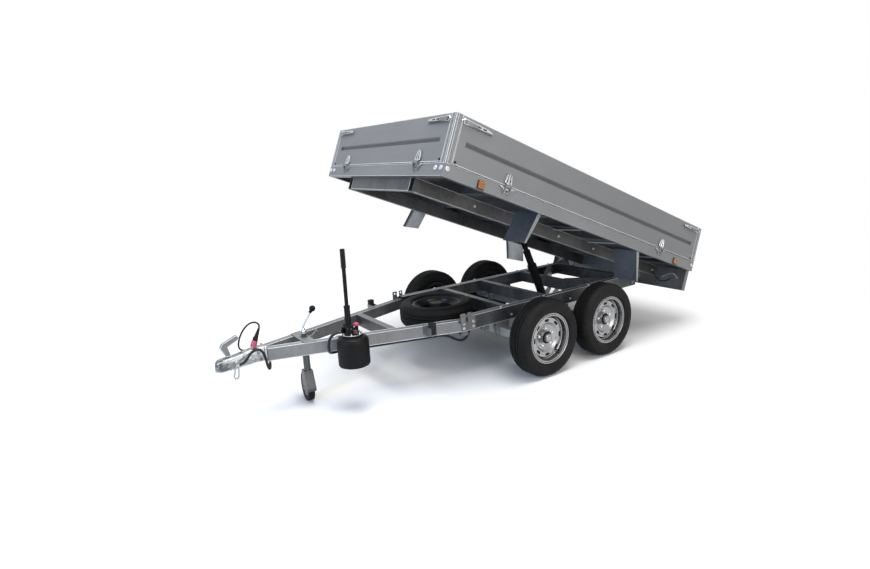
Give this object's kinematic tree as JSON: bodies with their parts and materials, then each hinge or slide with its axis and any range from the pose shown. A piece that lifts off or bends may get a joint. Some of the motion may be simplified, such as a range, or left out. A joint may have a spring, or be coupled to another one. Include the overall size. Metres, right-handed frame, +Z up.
{
  "type": "tandem-axle tipping trailer",
  "caption": "Galvanised drop-side tipping trailer on two axles, with a hand-pumped telescopic cylinder, A-frame drawbar, ball coupling, jockey wheel and spare wheel.",
  "frame": {"origin": "on the ground, at the middle of the overall length and width", "axes": "+X forward along the drawbar, +Y to the trailer's left, +Z up"},
  "size_m": [3.9104, 1.644, 1.823],
  "materials": {
    "galvanised_steel": "hot-dip galvanised, with a fine spangle",
    "board_steel": "dull grey coated steel sheet",
    "tyre_rubber": "black road tyre rubber",
    "rim_silver": "silver lacquered steel",
    "black_steel": "black enamel",
    "rubber_block": "moulded rubber",
    "red_plastic": "moulded red plastic",
    "lamp_lens": "moulded lens",
    "hose_black": "smooth black jacket",
    "plug_shell": "moulded plastic"
  },
  "bodies": {
    "chassis": {"axle_front": "galvanised_steel", "axle_rear": "galvanised_steel", "chassis_rails": "galvanised_steel", "coupling_handle": "black_steel", "coupling_head": "galvanised_steel", "cross_members": "galvanised_steel", "cylinder_cradle": "galvanised_steel", "drawbar_beams": "galvanised_steel", "frame_brackets": "galvanised_steel", "hinge_brackets": "galvanised_steel", "hydraulic_hose": "hose_black", "jockey_clamp": "galvanised_steel", "jockey_crank": "galvanised_steel", "jockey_tube": "galvanised_steel", "plug": "plug_shell", "plug_cable": "hose_black", "pump_head": "black_steel", "pump_knob": "red_plastic", "pump_reservoir": "black_steel", "rail_braces": "galvanised_steel", "rest_buffers": "rubber_block", "safety_cable": "hose_black", "safety_hook": "galvanised_steel", "spare_carrier": "galvanised_steel", "spare_rim": "rim_silver", "spare_tyre": "tyre_rubber"},
    "wheel_front_left": {"tyre_front_left": "tyre_rubber", "rim_front_left": "rim_silver"},
    "wheel_front_right": {"tyre_front_right": "tyre_rubber", "rim_front_right": "rim_silver"},
    "wheel_rear_left": {"tyre_rear_left": "tyre_rubber", "rim_rear_left": "rim_silver"},
    "wheel_rear_right": {"tyre_rear_right": "tyre_rubber", "rim_rear_right": "rim_silver"},
    "bed": {"bed_beams": "galvanised_steel", "bed_bearers": "galvanised_steel", "bed_floor": "galvanised_steel", "corner_posts": "galvanised_steel", "lamps": "lamp_lens", "light_panel": "galvanised_steel", "mudflaps": "galvanised_steel", "tray_end_rails": "galvanised_steel", "tray_side_rails": "galvanised_steel"},
    "front_board": {"board_front": "board_steel", "board_front_fittings": "galvanised_steel"},
    "left_board": {"board_left": "board_steel", "board_left_fittings": "galvanised_steel"},
    "right_board": {"board_right": "board_steel", "board_right_fittings": "galvanised_steel"},
    "tailboard": {"board_tail": "board_steel", "board_tail_fittings": "galvanised_steel"},
    "cylinder_barrel_body": {"cylinder_barrel": "black_steel"},
    "cylinder_stage_body": {"cylinder_stage": "black_steel"},
    "cylinder_rod_body": {"cylinder_rod": "black_steel"},
    "jockey_leg_body": {"jockey_leg": "galvanised_steel"},
    "jockey_fork_body": {"jockey_fork": "galvanised_steel"},
    "jockey_wheel": {"jockey_tyre": "tyre_rubber", "jockey_rim": "rim_silver"},
    "pump_lever_body": {"pump_lever": "black_steel"}
  },
  "joints": [
    {"name": "wheel_front_left_spin", "type": "hinge", "parent": "chassis", "child": "wheel_front_left", "pos_m": [-0.0968, 0.7195, 0.2805], "axis": [0, 1, 0], "continuous": true},
    {"name": "wheel_front_right_spin", "type": "hinge", "parent": "chassis", "child": "wheel_front_right", "pos_m": [-0.0968, -0.7195, 0.2805], "axis": [0, 1, 0], "continuous": true},
    {"name": "wheel_rear_left_spin", "type": "hinge", "parent": "chassis", "child": "wheel_rear_left", "pos_m": [-0.7268, 0.7195, 0.2805], "axis": [0, 1, 0], "continuous": true},
    {"name": "wheel_rear_right_spin", "type": "hinge", "parent": "chassis", "child": "wheel_rear_right", "pos_m": [-0.7268, -0.7195, 0.2805], "axis": [0, 1, 0], "continuous": true},
    {"name": "bed_tip", "type": "hinge", "parent": "chassis", "child": "bed", "pos_m": [-1.5378, 0, 0.455], "axis": [0, -1, 0], "range_deg": [-20.8, 24.2]},
    {"name": "front_board_fold", "type": "hinge", "parent": "bed", "child": "front_board", "pos_m": [0.75158, 0, 1.54715], "axis": [0, 1, 0], "range_deg": [0, 178]},
    {"name": "tailboard_fold", "type": "hinge", "parent": "bed", "child": "tailboard", "pos_m": [-1.85378, 0, 0.55747], "axis": [0, -1, 0], "range_deg": [0, 165]},
    {"name": "left_board_fold", "type": "hinge", "parent": "bed", "child": "left_board", "pos_m": [-0.5511, 0.813, 1.05231], "axis": [-0.9348, 0, -0.3551], "range_deg": [0, 178]},
    {"name": "right_board_fold", "type": "hinge", "parent": "bed", "child": "right_board", "pos_m": [-0.5511, -0.813, 1.05231], "axis": [0.9348, 0, 0.3551], "range_deg": [0, 178]},
    {"name": "cylinder_swing", "type": "hinge", "parent": "chassis", "child": "cylinder_barrel_body", "pos_m": [-0.8318, 0, 0.25], "axis": [0, -1, 0], "range_deg": [-22.76, 26.39]},
    {"name": "cylinder_stage_slide", "type": "slide", "parent": "cylinder_barrel_body", "child": "cylinder_stage_body", "axis": [0.3931, 0, 0.9195], "range_m": [-0.1291, 0.1498]},
    {"name": "cylinder_rod_slide", "type": "slide", "parent": "cylinder_stage_body", "child": "cylinder_rod_body", "axis": [0.3931, 0, 0.9195], "range_m": [-0.1291, 0.1498]},
    {"name": "jockey_lift", "type": "slide", "parent": "chassis", "child": "jockey_leg_body", "axis": [0, 0, 1], "range_m": [-0.02, 0.09]},
    {"name": "jockey_swivel", "type": "hinge", "parent": "jockey_leg_body", "child": "jockey_fork_body", "pos_m": [1.3882, 0, 0.1], "axis": [0, 0, 1], "continuous": true},
    {"name": "jockey_wheel_spin", "type": "hinge", "parent": "jockey_fork_body", "child": "jockey_wheel", "pos_m": [1.38423, -0.03779, 0.1], "axis": [-0.9945, 0.1045, 0], "continuous": true},
    {"name": "pump_lever_swing", "type": "hinge", "parent": "chassis", "child": "pump_lever_body", "pos_m": [1.2102, 0.318, 0.548], "axis": [0, 1, 0], "range_deg": [0, 60]}
  ],
  "couplings": [
    {"joint": "cylinder_swing", "follows": "bed_tip", "ratio": 1.07},
    {"joint": "cylinder_stage_slide", "follows": "bed_tip", "m_per_rad": 0.35},
    {"joint": "cylinder_rod_slide", "follows": "bed_tip", "m_per_rad": 0.35}
  ]
}
